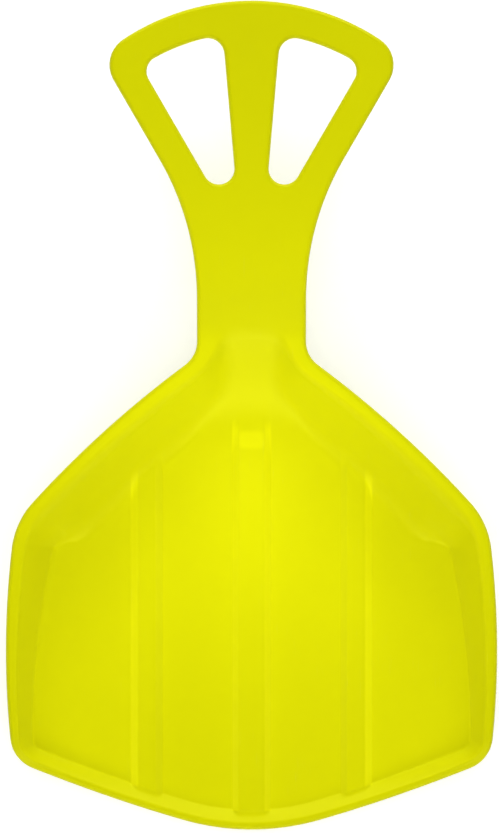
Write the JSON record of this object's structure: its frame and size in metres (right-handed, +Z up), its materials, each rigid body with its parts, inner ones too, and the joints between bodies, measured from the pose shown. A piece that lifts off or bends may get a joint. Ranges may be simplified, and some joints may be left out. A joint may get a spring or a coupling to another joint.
{
  "type": "bum slider",
  "caption": "One-piece moulded snow slider: a shallow ribbed seat pan with a low rear lip, side walls and slanted front walls, and a short neck up to a fan-shaped handle with hand openings.",
  "frame": {"origin": "under the middle of the slider, on the plane that its flat floor rests on", "axes": "+Z up from the floor, +Y from the rear lip towards the handle, +X to the right of someone seated facing the handle"},
  "size_m": [0.356, 0.6, 0.07],
  "materials": {
    "yellow_green_plastic": "semi-gloss moulded polyethylene, coloured all through"
  },
  "bodies": {
    "root": {"slider_shell": "yellow_green_plastic"}
  },
  "joints": []
}
